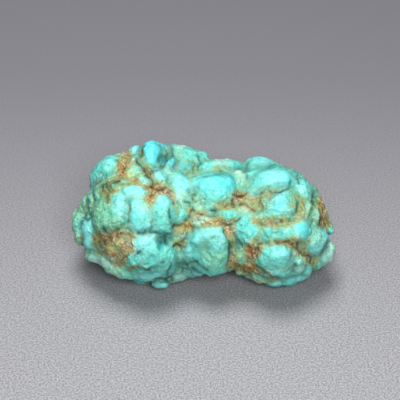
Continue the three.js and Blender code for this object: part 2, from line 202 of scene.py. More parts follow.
# Lumps. Each is one or more knobs that run into each other, and each knob is along, up, half length,
# half width, height, then its tone and its turn in degrees, unless turquoise and 0.
FRONT_LUMPS = [
    # left lobe, crown
    [(-154, 71, 23, 16, 19, TURQUOISE, 50), (-145, 77, 12, 12, 16, SKY, 60),
     (-168, 61, 11, 11, 13, TURQUOISE, 45)],
    [(-132, 94, 11, 6, 8, PALE, 15)], [(-126, 80, 12, 6, 4, OCHRE, 80)],
    [(-109, 100, 15, 9, 11, SKY, 75)], [(-83, 89, 26, 14.5, 24, AZURE, 96), (-77, 106, 21, 10, 11, BLUE)],
    [(-66, 91, 10, 3.5, 9, SAND, 75)],
    [(-110, 77, 14, 10, 9, PALE, 70), (-103, 70, 9, 8, 8, PALE), (-115, 62, 8, 6, 6, CREAM)],
    [(-95, 55, 8, 10, 9, PALE), (-92, 49, 7, 6, 8, SKY)], [(-126, 57, 9, 5, 6, CREAM)],
    [(-163, 45, 10, 9, 9, GREEN), (-146, 42, 12, 9, 7, MOSS), (-133, 40, 13, 9, 8, GREEN),
     (-122, 45, 8, 7, 7, GREEN)],
    [(-167, 26, 5.5, 15, 9, SKY, 5)], [(-183, 20, 10, 9, 10, PALE, 30), (-190, 9, 8, 8, 9, GREEN)],
    [(-178, 17, 4.5, 15, 8, TURQUOISE, 8)],
    # left lobe, middle
    [(-149, 1, 21, 22, 18, GREEN, 10), (-132, 14, 12, 16, 16, SKY), (-145, -12, 19, 12, 13, GREEN)],
    [(-112, 38, 9, 10, 8, SKY), (-106, 29, 12, 8, 9, SKY), (-96, 28, 7, 7, 7, SKY)],
    [(-108, 8, 12, 13, 14, SKY), (-105, -7, 13, 10, 12), (-96, 16, 9, 7, 9, CREAM),
     (-94, -14, 11, 8, 10, SKY)],
    [(-83, 5, 5, 17, 8, CREAM)], [(-83, 29, 7, 8, 5, SAND)], [(-72, 58, 10, 14, 12, SKY, 10)],
    [(-68, 17, 12, 15, 16, SKY), (-66, -6, 12.5, 21, 17)],
    [(-200, -9, 8, 13, 10, PALE), (-192, 1, 10, 10, 10, GREEN), (-192, -15, 11, 10, 11)],
    [(-193, -33, 13, 12, 12, PALE, -35)],
    [(-178, -31, 14, 19, 13, SKY, -5), (-175, -15, 13, 10, 11, SKY)],
    # left lobe, foot; its cloud tones are partly the pale crust's own colour and partly painted light on
    # its shaded underside
    [(-179, -54, 8, 10, 11, PALE, -20), (-170, -63, 14, 9, 12, CLOUD, -15),
     (-153, -70, 13, 8, 10, CLOUD, -30), (-136, -81, 15, 11, 13, PALE, -30),
     (-118, -89, 14, 9, 11, TURQUOISE, -5)],
    [(-94, -41, 18, 12, 16, SKY, 10), (-80, -58, 24, 22, 21), (-103, -67, 16, 13, 16, TURQUOISE, 20),
     (-82, -88, 28, 12, 17, SKY, 5), (-59, -63, 9, 13, 12)],
    [(-69, -106, 15, 9, 14, SKY)],
    # waist, crown
    [(-35, 98, 18, 14, 16, TURQUOISE, 10), (-17, 92, 14, 12, 15, TURQUOISE, -30), (-39, 80, 14, 14, 12),
     (-22, 77, 14, 14, 11, PALE), (-48, 104, 8, 7, 10, PALE), (-2, 86, 11, 14, 12, TURQUOISE, -20)],
    [(-57, 78, 8, 15, 10, BLUE, -20), (-59, 66, 7, 8, 8, CLOUD)],
    [(-43, 58, 11, 12, 8), (-41, 40, 11, 14, 9, SKY), (-40, 23, 7, 9, 7, CLOUD),
     (-26, 43, 11, 9, 9, SKY)],
    [(6, 75, 13, 12, 11), (25, 78, 12, 10, 10, CLOUD), (46, 76, 16, 12, 14),
     (56, 60, 10, 10, 10, CLOUD), (57, 49, 9, 8, 8, PALE)],
    # waist, middle
    [(22, 44, 24, 18, 23, BLUE, 12), (-15, 49, 16, 9, 12, SKY), (8, 46, 13, 13, 18, SKY),
     (15, 29, 15, 10, 15), (35, 28, 11, 11, 13)],
    [(8, 11, 8, 8, 9)], [(22, 14, 8, 7, 7, GREEN)],
    [(-13, 23, 7, 9, 10, PALE), (-8, 12, 9, 8, 9, PALE, -20)], [(-26, 22, 7, 8, 7, GREEN)],
    [(-38, 0, 12.5, 12, 14)], [(-49, 3, 4.5, 10, 6)], [(55, 26, 6, 5, 6, CREAM)],
    [(60, 13, 12, 8, 11, CREAM), (70, 6, 8, 6, 8, CLOUD)], [(41, 0, 14, 10.5, 14)],
    # waist, foot
    [(-37, -27, 11, 11, 13, CREAM)], [(-5, -5, 14, 8, 12, CLOUD), (10, -11, 9, 6, 8, CREAM, -20)],
    [(12, -49, 26, 33, 24), (-2, -28, 15, 9, 24, SKY, 15), (22, -28, 11, 11, 17, SKY),
     (27, -52, 11, 21, 20), (-24, -50, 10, 11, 16, SKY, -10), (-16, -61, 10, 11, 14, TURQUOISE, -30)],
    [(-41, -59, 8, 11, 15, CLOUD)],
    [(-34, -73, 15, 8, 16, SKY, -10), (-20, -80, 8, 5, 13, SKY, 20), (-13, -86, 14, 7, 14, SKY, -10)],
    [(-41, -92, 18, 10, 18, CLOUD, 10), (-48, -80, 7, 8, 14)], [(43, -68, 9, 15, 20, MOSS)],
    # right lobe, crown
    [(87, 77, 18, 15, 17, SKY), (102, 76, 14, 11, 14, SKY, -20), (120, 72, 14, 8, 11, DEEP, -15),
     (74, 77, 9, 9, 11), (78, 62, 13, 10, 11)],
    [(85, 47, 14, 6.5, 11, TURQUOISE, 10), (102, 54, 16, 11, 16, SKY, 20),
     (115, 58, 16, 12, 18, SKY, 10), (130, 53, 10, 9, 14, BLUE, -30)],
    [(76, 34, 8, 8, 9)],
    [(132, 70, 8, 6, 8, GREEN, -30), (142, 59, 5, 8, 7, TURQUOISE, -20), (144, 49, 5, 6, 8, BLUE)],
    [(156, 42, 8, 12, 12, TURQUOISE, 25), (158, 29, 7, 10, 11, TURQUOISE, 15),
     (153, 39, 6, 11, 11, SKY, 15)],
    # right lobe, middle
    [(118, 26, 9, 12, 17, SKY, -20), (119, 10, 12, 11, 16, BLUE), (104, 14, 9, 12, 12, PALE),
     (132, 34, 10, 8, 11, GREEN, 20)],
    [(140, 15, 8, 14, 12, GREEN, -30), (134, 1, 7, 7, 9, GREEN)], [(95, 26, 6, 9, 7, CREAM)],
    [(83, 17, 6, 5, 6, CREAM)], [(154, 0, 8, 13, 10, CREAM, 5), (163, 19, 9, 8, 10, PALE)],
    [(177, 0, 7, 12, 13, SKY, 5)], [(185, 8, 8, 12, 8, OCHRE, 15), (192, -8, 9, 11, 10, CREAM)],
    [(64, -13, 14, 12, 17), (64, -28, 14, 12, 15), (78, -26, 9, 14, 14)], [(64, -43, 5, 5, 7, PALE)],
    [(103, -22, 7.5, 7, 10, BLUE)], [(95, -4, 9, 7, 9, PALE)], [(117, -8, 4.5, 3.5, 6, SKY)],
    [(82, -9, 6, 5, 6, CREAM)], [(128, -26, 12, 10, 12)],
    [(150, -18, 12, 11, 14, BLUE), (146, -32, 10, 5, 9)],
    [(183, -33, 14, 12, 14, AZURE, 40), (172, -44, 16, 12, 13, SKY, 30), (173, -32, 8, 8, 12, PALE)],
    [(200, -20, 7, 7, 8)], [(196, -50, 11, 12, 9, CLOUD, 50), (188, -63, 10, 10, 9, CLOUD, 45)],
    [(178, -67, 7, 5, 7, CREAM, 30)], [(179, -76, 11, 8, 10, GREEN, 40)],
    # right lobe, foot
    [(112, -64, 24, 22, 25), (119, -55, 13, 9, 20, SKY), (118, -84, 16, 10, 16, TURQUOISE, -10)],
    [(144, -67, 8, 13, 13, CLOUD, 5), (143, -80, 8, 10, 11)], [(161, -78, 9, 12, 15, SKY, 15)],
    [(142, -97, 18, 10, 15, SKY, 30), (158, -88, 9, 9, 14, SKY)], [(114, -104, 11, 7, 11, SKY)],
    [(87, -95, 15, 9.5, 14, CREAM, -15)], [(58, -85, 8, 8, 8, PALE)],
    [(55, -53, 6, 10, 7, GREEN), (63, -59, 5, 9, 8)], [(73, -71, 7, 5, 6, GREEN)],
]

# Thin creases, mostly dark, partly the matrix's own veins and partly painted shade where knobs meet: tone,
# half width in millimetres, share of the full depth, and the (along, up) places that they join.
CREASES = [
    (MOSS, 0.2, 0.2, [(-96, 112), (-98, 103), (-100, 94)]),
    (CREVICE_SHADE, 0.28, 0.4, [(-107, 90), (-102, 84), (-96, 78), (-89, 73)]),
    (CREVICE_SHADE, 0.24, 0.4, [(-89, 73), (-82, 72), (-73, 74), (-66, 79), (-60, 87), (-58, 94)]),
    (BARK, 0.18, 0.3, [(-71, 93), (-71, 85), (-69, 80)]),
    (BARK, 0.2, 0.2, [(-99, 80), (-92, 69), (-86, 58), (-84, 50)]),
    (CREVICE_SHADE, 0.2, 0.2, [(-90, 73), (-84, 65), (-81, 59), (-80, 52)]),
    (BARK, 0.28, 0.4, [(-88, 48), (-79, 47), (-72, 44), (-65, 43), (-59, 46), (-53, 41)]),
    (BARK, 0.2, 0.2, [(-53, 36), (-49, 27), (-47, 20)]),
    (TEAL, 0.18, 0.2, [(-55, 12), (-54, 0), (-52, -8)]),
    (MOSS, 0.22, 0.3, [(-124, 27), (-119, 20), (-118, 12), (-120, 4), (-120, -9)]),
    (TEAL, 0.22, 0.3, [(-175, 37), (-172, 26)]),
    (TEAL, 0.22, 0.2, [(-183, 26), (-183, 12), (-179, 1), (-184, -5), (-190, -2)]),
    (UMBER, 0.18, 0.3, [(-175, 50), (-169, 53), (-163, 58)]),
    (BARK, 0.3, 0.2, [(-142, 56), (-135, 57)]),
    (MOSS, 0.3, 0.2, [(-157, 49), (-149, 47), (-153, 36), (-153, 24)]),
    (CREVICE_SHADE, 0.3, 0.5, [(-160, -20), (-155, -26), (-148, -28), (-142, -24), (-134, -20), (-129, -14)]),
    (BARK, 0.26, 0.4, [(-148, -28), (-150, -34), (-155, -39)]),
    (MOSS, 0.26, 0.3, [(-167, -29), (-166, -42), (-160, -50)]),
    (RUST, 0.22, 0.2, [(-131, -28), (-123, -28), (-116, -30)]),
    (UMBER, 0.18, 0.2, [(-134, -73), (-127, -66), (-120, -61)]),
    (TEAL, 0.26, 0.5, [(-105, -26), (-95, -27), (-85, -24), (-76, -25), (-68, -28), (-49, -29)]),
    (TEAL, 0.26, 0.3, [(-93, -23), (-85, -21), (-81, -16)]),
    (MOSS, 0.22, 0.2, [(-82, -9), (-79, -8)]),
    (BARK, 0.32, 0.5, [(-48, -23), (-46, -14), (-39, -14), (-31, -14)]),
    (BARK, 0.26, 0.4, [(-28, -7), (-23, -2), (-21, 6), (-18, 13), (-13, 6), (-5, 4), (3, 2), (12, 1),
     (18, 2)]),
    (CREVICE_SHADE, 0.24, 0.3, [(11, 10), (18, 8)]),
    (CREVICE_SHADE, 0.22, 0.3, [(-19, 30), (-18, 26)]),
    (CREVICE_SHADE, 0.22, 0.2, [(-5, 26), (-4, 23)]),
    (TEAL, 0.26, 0.2, [(-30, 24), (-23, 22)]),
    (TEAL, 0.26, 0.2, [(-21, 37), (-13, 35)]),
    (BARK, 0.26, 0.5, [(31, -9), (33, -15), (34, -23), (37, -32), (40, -39), (44, -44), (46, -49)]),
    (CREVICE_SHADE, 0.34, 0.6, [(43, -46), (42, -62), (42, -72), (41, -82)]),
    (BARK, 0.26, 0.3, [(32, -11), (40, -14), (48, -11), (53, -6), (57, -2)]),
    (MOSS, 0.18, 0.2, [(48, -28), (53, -39), (59, -43), (60, -47)]),
    (BARK, 0.32, 0.4, [(-34, -40), (-29, -35)]),
    (CREVICE_SHADE, 0.34, 0.5, [(-46, -47), (-40, -45), (-36, -47)]),
    (MOSS, 0.2, 0.2, [(-36, -49), (-34, -56), (-32, -59)]),
    (GREEN, 0.35, 0.4, [(16, -35), (9, -39), (3, -45), (2, -55)]),
    (GREEN, 0.35, 0.3, [(6, -60), (13, -66), (22, -62), (32, -56)]),
    (TEAL, 0.18, 0.3, [(-15, -71), (-11, -72), (-9, -77), (0, -82), (7, -86)]),
    (TEAL, 0.22, 0.3, [(-36, -80), (-30, -82), (-22, -86), (-20, -90)]),
    (TEAL, 0.2, 0.2, [(-23, -72), (-13, -72)]),
    (TEAL, 0.22, 0.4, [(-56, -96), (-63, -99), (-71, -100), (-80, -101)]),
    (TEAL, 0.22, 0.3, [(-50, -75), (-53, -81), (-58, -87), (-58, -96)]),
    (TEAL, 0.2, 0.2, [(-66, -73), (-79, -81), (-90, -85), (-102, -83)]),
    (CREVICE_SHADE, 0.2, 0.2, [(-109, -61), (-102, -56), (-96, -52)]),
    (MOSS, 0.2, 0.3, [(-53, 111), (-51, 106), (-51, 100), (-53, 92)]),
    (GREEN, 0.24, 0.1, [(-42, 101), (-32, 103)]),
    (TEAL, 0.2, 0.2, [(-11, 98), (-8, 92), (-6, 84)]),
    (MOSS, 0.22, 0.2, [(-24, 89), (-19, 86), (-15, 82), (-17, 72), (-15, 68)]),
    (MOSS, 0.26, 0.2, [(-29, 76), (-23, 72), (-26, 68)]),
    (DEEP, 0.13, 0.12, [(-2, 63), (5, 64), (12, 65), (20, 67), (30, 68), (42, 65), (48, 60)]),
    (MOSS, 0.26, 0.2, [(22, 79), (26, 77), (28, 72)]),
    (TEAL, 0.18, 0.2, [(68, 84), (66, 78), (65, 72)]),
    (CREVICE_SHADE, 0.24, 0.5, [(104, 44), (107, 40), (114, 39), (122, 40), (127, 42), (134, 45), (138, 50),
     (140, 57)]),
    (TEAL, 0.35, 0.3, [(83, 37), (87, 39), (91, 39)]),
    (CREVICE_SHADE, 0.18, 0.3, [(148, 64), (150, 58), (151, 52)]),
    (CREVICE_SHADE, 0.22, 0.3, [(176, 40), (174, 30), (173, 24)]),
    (CREVICE_SHADE, 0.26, 0.4, [(151, 24), (150, 16), (148, 9), (144, 4), (140, -2), (135, -6)]),
    (BARK, 0.28, 0.3, [(172, 23), (177, 20), (182, 20)]),
    (BARK, 0.24, 0.3, [(183, 12), (186, 4), (187, -4), (184, -12)]),
    (BARK, 0.32, 0.5, [(51, 39), (48, 31), (45, 22), (46, 17), (52, 17), (59, 21)]),
    (BARK, 0.34, 0.4, [(52, 33), (61, 33), (67, 38)]),
    (UMBER, 0.28, 0.3, [(61, 22), (69, 18), (75, 14), (79, 10), (89, 10), (92, 15)]),
    (UMBER, 0.22, 0.2, [(88, 22), (90, 30)]),
    (UMBER, 0.3, 0.3, [(105, 29), (109, 35)]),
    (CREVICE_SHADE, 0.22, 0.3, [(112, -4), (122, -5), (125, -9)]),
    (RUST, 0.34, 0.3, [(108, -12), (106, -6)]),
    (MOSS, 0.22, 0.2, [(90, -13), (99, -14)]),
    (BARK, 0.32, 0.4, [(84, -52), (85, -44), (94, -41), (102, -41)]),
    (BARK, 0.32, 0.5, [(113, -39), (120, -41), (129, -39), (136, -40), (142, -46)]),
    (UMBER, 0.2, 0.3, [(142, -46), (140, -56), (139, -65)]),
    (BARK, 0.28, 0.4, [(149, -42), (150, -50), (156, -57), (162, -62), (170, -64), (172, -71)]),
    (CREVICE_SHADE, 0.18, 0.3, [(198, -39), (193, -48), (188, -56), (184, -60)]),
    (TEAL, 0.36, 0.4, [(142, -87), (146, -76)]),
    (MOSS, 0.28, 0.3, [(83, -78), (93, -83), (102, -91), (109, -96), (118, -98)]),
    (RUST, 0.34, 0.3, [(66, -79), (74, -82)]),
    (RUST, 0.34, 0.3, [(71, -49), (75, -58), (70, -64)]),
    (BARK, 0.26, 0.4, [(-199, -35), (-194, -37)]),
]

# Soft-edged spots of colour: along, up, half length, half width, tone, strength, and turn, unless 0.
# The teal and deep spots darken hollows, partly in the stone's own deep colour and partly as painted
# shade.
PATCHES = [
    # the cloud spot at (-156, -69) is partly the pale crust and partly painted light on the shaded
    # underside
    (-63, -37, 13, 10, TEAL, 0.97), (-65, -48, 7, 7, DEEP, 0.9), (-156, -69, 26, 9, CLOUD, 0.95, -28),
    (-86, -70, 12, 6, DEEP, 0.4, 20), (32, 22, 16, 7, OLIVE, 0.6), (-110, -80, 9, 4.5, UMBER, 0.7, 10),
    (-124, -18, 10, 4, CREAM, 0.7, 20), (-134, -43, 9, 9, SAND, 0.8), (-121, -38, 7, 4, CREAM, 0.8),
    (-122, -49, 7, 5, ROSE, 0.7), (-156, -29, 3, 5, ROSE, 0.8), (-147, -56, 15, 7, RUST, 0.85, -40),
    # the pale cloud strip at (-36, 111), on the crown's rim, is a painted highlight
    (-162, -27, 5, 4, OCHRE, 0.8), (-36, 111, 9, 3, CLOUD, 0.9), (-43, 79, 6, 7, ROSE, 0.4),
    (-146, -13, 13, 8, MOSS, 0.3), (-172, 62, 13, 9, SKY, 0.6), (40, -26, 3.5, 11, SAND, 0.9, 10),
    (156, 43, 5, 5, CLOUD, 0.5), (-26, -15, 8, 5, OCHRE, 0.9, 30), (19, -6, 7, 6, OCHRE, 0.7),
    (75, -56, 7, 9, RUST, 0.9), (74, -83, 8, 6, RUST, 0.8), (48, -73, 6, 8, OCHRE, 0.7),
    # the green spot at (19, -70) is partly the lobe's mottled green and partly painted shade on its lower
    # half
    (122, -84, 10, 8, CLOUD, 0.3), (19, -70, 22, 15, GREEN, 0.6), (-127, 80, 16, 6, RUST, 0.9, 78),
    (-129, 64, 6, 4, UMBER, 0.9), (-86, 44, 11, 6, RUST, 0.9, -20), (-66, 41, 12, 5, RUST, 0.8, -20),
    (-84, 27, 5, 10, RUST, 0.7), (-92, 68, 15, 3, UMBER, 0.8, -50), (-154, 50, 9, 5, MOSS, 0.8, 40),
    (-152, 30, 5, 9, OLIVE, 0.9), (-133, 52, 8, 5, OLIVE, 0.8), (-107, 56, 8, 5, OCHRE, 0.8, -30),
    (58, 35, 8, 4, UMBER, 0.9), (48, 22, 4, 8, UMBER, 0.8), (135, -43, 15, 3.5, UMBER, 0.8),
    (184, 13, 4, 10, UMBER, 0.7), (194, -2, 5, 12, SAND, 0.6), (-4, -44, 5, 14, GREEN, 0.5),
    (21, -43, 12, 9, SKY, 0.4), (-40, 93, 9, 9, PALE, 0.4), (-24, 79, 10, 9, GREEN, 0.5),
    (-84, -33, 14, 5, CLOUD, 0.5),
]

# Where there is brown matrix: along, up, half length, half width, strength, and turn, unless 0. At a
# strength of about 0.5 it shows only in the creases, and at 1 it covers the knobs too.
STAINS = [
    (-127, 82, 24, 10, 0.95, 78), (-99, 94, 18, 4, 0.75, 75), (-94, 76, 19, 6, 0.85, -45),
    (-115, 60, 20, 12, 0.62, -20), (-144, 50, 24, 11, 0.8, 50), (-152, 28, 7, 12, 0.5),
    (-70, 43, 25, 8, 1, -25), (-83, 30, 10, 10, 0.85), (-49, 23, 14, 4, 0.7, -70), (-196, -36, 7, 5, 0.9),
    (-188, 24, 16, 12, 0.4), (-139, -43, 30, 19, 1.15, -12), (-134, -66, 13, 12, 1),
    (-154, -49, 20, 8, 1, -45), (-111, -80, 9, 5, 0.9), (-26, -14, 18, 7, 0.8, 20), (-38, -43, 9, 8, 0.7),
    (-12, 5, 20, 6, 0.8, -10), (16, -8, 23, 8, 0.85), (-20, 72, 16, 10, 0.4), (25, 75, 10, 8, 0.45),
    (56, 32, 13, 9, 0.95), (36, 16, 16, 6, 0.7), (39, -22, 20, 8, 0.95, 70), (43, -56, 28, 5, 0.8, 88),
    (86, 23, 26, 9, 0.68, 15), (75, 16, 12, 8, 0.7), (106, 35, 15, 6, 0.75, 20), (106, -9, 40, 8, 0.66),
    (150, 24, 22, 8, 0.62, 60), (154, 6, 18, 8, 0.6, 80), (192, 9, 26, 12, 0.95, 90),
    (202, -32, 16, 8, 0.6, 90), (132, -43, 32, 8, 0.85, 8), (159, -60, 22, 7, 0.85, -40),
    (80, -52, 13, 15, 1.05), (58, -74, 20, 16, 0.85), (76, -83, 20, 8, 1, -10),
    (98, -87, 19, 7, 0.9, -35), (112, -96, 10, 5, 0.7), (185, -66, 16, 10, 0.45, 30),
]

# Round feet under both ends: X, Y, radius.
FEET = [(-6.8, -4.4, 1.6), (-9.5, -3.0, 2.4), (-8.0, 6.0, 3.4),
        (13.6, -4.4, 1.6), (11.0, -4.3, 1.4), (11.5, 3.8, 3.2)]

# Knobs of the back and underside, spread on a spiral round the stone, with seeded sizes.
SPIRAL_PLACES = 150
SPIRAL_SPINE = 9.5
BACK_HALF_LENGTH = (1.5, 2.9)
BACK_FLATNESS = (0.5, 0.75)
BACK_WIDTH = 0.85
BACK_TONES = [TURQUOISE, TURQUOISE, BLUE, SKY, GREEN, PALE, CREAM, TURQUOISE, DEEP]

# Tones of the small lumps, on clean stone and on matrix.
STONE_TONES = [TURQUOISE, TURQUOISE, SKY, GREEN, PALE, TURQUOISE, PALE, BLUE]
MATRIX_TONES = [PALE, CREAM, SAND, ROSE, OCHRE, UMBER, GREEN, OLIVE]


def srgb(red, green, blue):
    """An sRGB colour of 0 to 255 as linear light."""
    share = np.array([red, green, blue]) / 255
    return np.where(share <= 0.04045, share / 12.92, ((share + 0.055) / 1.055) ** 2.4)


def rgba(tone):
    """An sRGB tone as a shader's colour."""
    return (*srgb(*tone), 1)


def in_mm(row, lengths=4):
    """A row of a front face list, with its lengths in millimetres."""
    return [value * TENTH for value in row[:lengths]] + list(row[lengths:])


def placed(name, data):
    """A new object in the scene."""
    thing = bpy.data.objects.new(name, data)
    bpy.context.scene.collection.objects.link(thing)
    return thing


# ---- the stone's shape ----


def spline_weights(count, knots, spacing, scale):
    """Cubic B-spline weights that spread coarse lattice values over a line of finer points."""
    place = np.arange(count) * spacing / scale + 1
    base = place.astype(int)
    t = place - base
    parts = ((1 - t) ** 3, 3 * t**3 - 6 * t**2 + 4, -3 * t**3 + 3 * t**2 + 3 * t + 1, t**3)
    weights = np.zeros((count, knots), np.float32)
    for step, part in enumerate(parts):
        weights[np.arange(count), base + step - 1] += part / 6
    return weights


def smooth_noise(shape, spacing, scale, source):
    """Smooth noise of about -1 to 1 on a lattice, with lumps of about that scale."""
    knots = [int(count * spacing / scale) + 5 for count in shape]
    values = source.uniform(-2, 2, knots).astype(np.float32)
    for axis in range(3):
        weights = spline_weights(shape[axis], knots[axis], spacing, scale)
        values = np.moveaxis(np.tensordot(weights, values, (1, axis)), 0, axis)
    return values


def bent_space(lines, spacing):
    """The lattice points' places, gently shifted, so that no knob is a perfect ellipsoid."""
    source = np.random.default_rng(SEED)
    shape = tuple(len(line) for line in lines)
    straight = np.meshgrid(*lines, indexing="ij", sparse=True)
    bent = []
    for axis in range(3):
        shift = np.zeros(shape, np.float32)
        for scale, height in BENDS:
            shift += height * smooth_noise(shape, spacing, scale, source)
        bent.append((straight[axis] + shift).astype(np.float32))
    return bent


def blend(a, b, width):
    """The lesser of two distances, rounded off where they are nearly equal."""
    near = np.clip(width - np.abs(a - b), 0, None) / width
    return np.minimum(a, b) - near * near * width * 0.25


def ellipsoid(points, centre, axes, radii, power=2.0):
    """Distance from an ellipsoid, or a squarer shape for a power above 2; close to true near it."""
    tiny = 1e-6
    offset = [points[i] - centre[i] for i in range(3)]
    reach = 0
    slope = 0
    for axis, radius in zip(axes, radii):
        share = np.abs(offset[0] * axis[0] + offset[1] * axis[1] + offset[2] * axis[2]) / radius
        reach = reach + share**power
        slope = slope + (share ** (power - 1) / radius) ** 2
    size = reach ** (1 / power) + tiny
    return (size - 1) * size ** (power - 1) / (np.sqrt(slope) + tiny)


def joined(distances, fillet):
    """Distance from several shapes that run into each other."""
    nearest = distances[0]
    for distance in distances[1:]:
        nearest = blend(nearest, distance, fillet)
    return nearest


def body_distance(points):
    """Distance from the three lobes, before any knob is added."""
    lobes = [ellipsoid(points, lobe[:3], np.eye(3), lobe[3:]) for lobe in LOBES]
    return joined(lobes, BODY_FILLET)


def seen_at(along, up, depth):
    """The point seen at a place of the front face's plane, from the camera, at a depth out of it."""
    share = (CAMERA_DISTANCE - depth) / CAMERA_DISTANCE
    along = CAMERA_ALONG + (along - CAMERA_ALONG) * share
    up = CAMERA_UP + (up - CAMERA_UP) * share
    return FACE_CENTRE + along * ALONG + up * UP_FACE + depth * OUT_OF_FACE


def meet_body(path):
    """The first place on the body along a path of falling depth; if none, the nearest to it."""
    depth = MARCH_START
    best = None
    while depth > -MARCH_START:
        place = path(depth)
        distance = float(body_distance(place))
        if best is None or distance < best[0]:
            best = (distance, place)
        if distance < MARCH_MET:
            break
        near = distance < MARCH_NEAR
        depth -= max(MARCH_SHARE * distance, MARCH_MET) if near else MARCH_STEP
    return best[1]


def body_slope(place):
    """Unit direction out of the body at a place on it."""
    step = 0.05
    ahead = [body_distance(place + step * np.eye(3)[i]) for i in range(3)]
    back = [body_distance(place - step * np.eye(3)[i]) for i in range(3)]
    slope = np.array(ahead) - np.array(back)
    return slope / np.linalg.norm(slope)


def front_knob(along, up, half_length, half_width, height, tone=TURQUOISE, turn=0):
    place = meet_body(lambda depth: seen_at(along, up, depth))
    facing = max(0.0, float(body_slope(place) @ OUT_OF_FACE))
    overlap = 1 + (KNOB_OVERLAP - 1) * min(1.0, facing * OVERLAP_RISE)
    angle = math.radians(turn)
    long_axis = ALONG * math.cos(angle) + UP_FACE * math.sin(angle)
    short_axis = np.cross(OUT_OF_FACE, long_axis)
    centre = place - SINK * height * OUT_OF_FACE
    radii = (half_length * overlap, half_width * overlap, height * KNOB_LIFT)
    return (centre, (long_axis, short_axis, OUT_OF_FACE), radii), tone


def foot(x, y, radius):
    """A round foot under the stone, to be worn flat."""
    centre = np.array([x, y, radius - FOOT_WEAR])
    return (centre, np.eye(3), (radius, radius, radius)), TURQUOISE


def back_knob(direction, half_length, flatness):
    spine = np.array([SPIRAL_SPINE * direction[0], 0, FACE_CENTRE[2]])
    place = meet_body(lambda depth: spine + direction * (depth + BACK_START))
    height = half_length * flatness
    side = np.cross([0, 0, 1], direction)
    side /= np.linalg.norm(side)
    centre = place - SINK * height * direction
    radii = (half_length, half_length * BACK_WIDTH, height)
    return centre, (side, np.cross(direction, side), direction), radii


def seeded(seed):
    """A repeatable stream of numbers from 0 to 1 (mulberry32)."""
    state = seed
    while True:
        state = (state + 0x6D2B79F5) & 0xFFFFFFFF
        mixed = ((state ^ (state >> 15)) * (1 | state)) & 0xFFFFFFFF
        more = ((mixed ^ (mixed >> 7)) * (61 | mixed)) & 0xFFFFFFFF
        mixed = ((mixed + more) & 0xFFFFFFFF) ^ mixed
        yield ((mixed ^ (mixed >> 14)) & 0xFFFFFFFF) / 2**32


def between(ends, share):
    return ends[0] + (ends[1] - ends[0]) * share


def back_knobs():
    stream = seeded(SEED)
    golden_angle = math.pi * (3 - math.sqrt(5))
    knobs = []
    for i in range(SPIRAL_PLACES):
        across = 1 - 2 * (i + 0.5) / SPIRAL_PLACES
        ring = math.sqrt(1 - across * across)
        turn = i * golden_angle
        direction = np.array([across, ring * math.cos(turn), ring * math.sin(turn)])
        half_length = between(BACK_HALF_LENGTH, next(stream))
        flatness = between(BACK_FLATNESS, next(stream))
        if direction @ OUT_OF_FACE < 0:
            knobs.append((back_knob(direction, half_length, flatness), BACK_TONES[i % len(BACK_TONES)]))
    return knobs


def all_lumps():
    """Every lump: a list of knobs, each ((centre, axes, radii), tone)."""
    front = [[front_knob(*in_mm(row, 5)) for row in rows] for rows in FRONT_LUMPS]
    feet = [[foot(*row)] for row in FEET]
    return front + feet + [[knob] for knob in back_knobs()]


def knob_reach(knob, margin):
    """Half sizes along X, Y and Z of the box round a knob."""
    axes = np.array(knob[1])
    radii = np.array(knob[2])[:, None]
    return np.sqrt(((axes * radii) ** 2).sum(0)) + margin


def lump_box(lump, margin):
    """The low and high corners of the box round a lump."""
    low = np.min([knob[0] - knob_reach(knob, margin) for knob, _ in lump], axis=0)
    high = np.max([knob[0] + knob_reach(knob, margin) for knob, _ in lump], axis=0)
    return low, high


class Lattice:
    """The stone's distances on a lattice of points, and the places that those points stand for."""

    def __init__(self, spacing):
        self.spacing = spacing
        self.lines = [np.arange(LATTICE_LOW[i], LATTICE_HIGH[i] + spacing, spacing) for i in range(3)]
        self.shape = tuple(len(line) for line in self.lines)
        self.bent = bent_space(self.lines, spacing)
        self.field = body_distance(self.bent).astype(np.float32)

    def at(self, values, points):
        """Lattice values between lattice points."""
        place = np.clip((points - LATTICE_LOW) / self.spacing, 0, np.array(self.shape) - 1.001)
        base = place.astype(int)
        share = place - base
        total = 0
        for corner in range(8):
            step = np.array([corner & 1, corner >> 1 & 1, corner >> 2])
            weight = np.prod(np.where(step, share, 1 - share), axis=1)
            total = total + weight * values[tuple((base + step).T)]
        return total

    def bend(self, points):
        return np.stack([self.at(values, points) for values in self.bent], 1)

    def window(self, lump):
        """The block of lattice points round a lump."""
        low, high = lump_box(lump, WINDOW_MARGIN)
        first = np.maximum(0, (low - LATTICE_LOW) / self.spacing).astype(int)
        last = np.minimum(self.shape, ((high - LATTICE_LOW) / self.spacing).astype(int) + 2)
        return tuple(slice(first[i], last[i]) for i in range(3))

    def knob_distances(self, lump, bent):
        """Distance from each knob of a lump."""
        found = []
        for (centre, axes, radii), _ in lump:
            found.append(ellipsoid(bent, self.bend(centre[None])[0], axes, radii, SQUARENESS))
        return found

    def add(self, lump, fillet):
        """Joins a lump onto the stone."""
        window = self.window(lump)
        knobs = self.knob_distances(lump, [values[window] for values in self.bent])
        self.field[window] = blend(self.field[window], joined(knobs, LUMP_FILLET), fillet)

    def rest(self):
        """Wears the stone flat at the resting plane."""
        self.field = np.maximum(self.field, -self.lines[2][None, None, :]).astype(np.float32)

    def outward(self, points):
        """Unit direction out of the stone at each point."""
        change = []
        for i in range(3):
            step = np.zeros(3)
            step[i] = self.spacing
            change.append(self.at(self.field, points + step) - self.at(self.field, points - step))
        change = np.stack(change, 1)
        return change / (np.linalg.norm(change, axis=1, keepdims=True) + 1e-9)

    def surface(self):
        """The stone's surface as vertices and quads."""
        cut_edges = [edges_cut(self.field, axis) for axis in range(3)]
        vertices, number = cell_vertices(cut_edges, tuple(n - 1 for n in self.shape))
        return vertices * self.spacing + LATTICE_LOW, edge_quads(cut_edges, number)


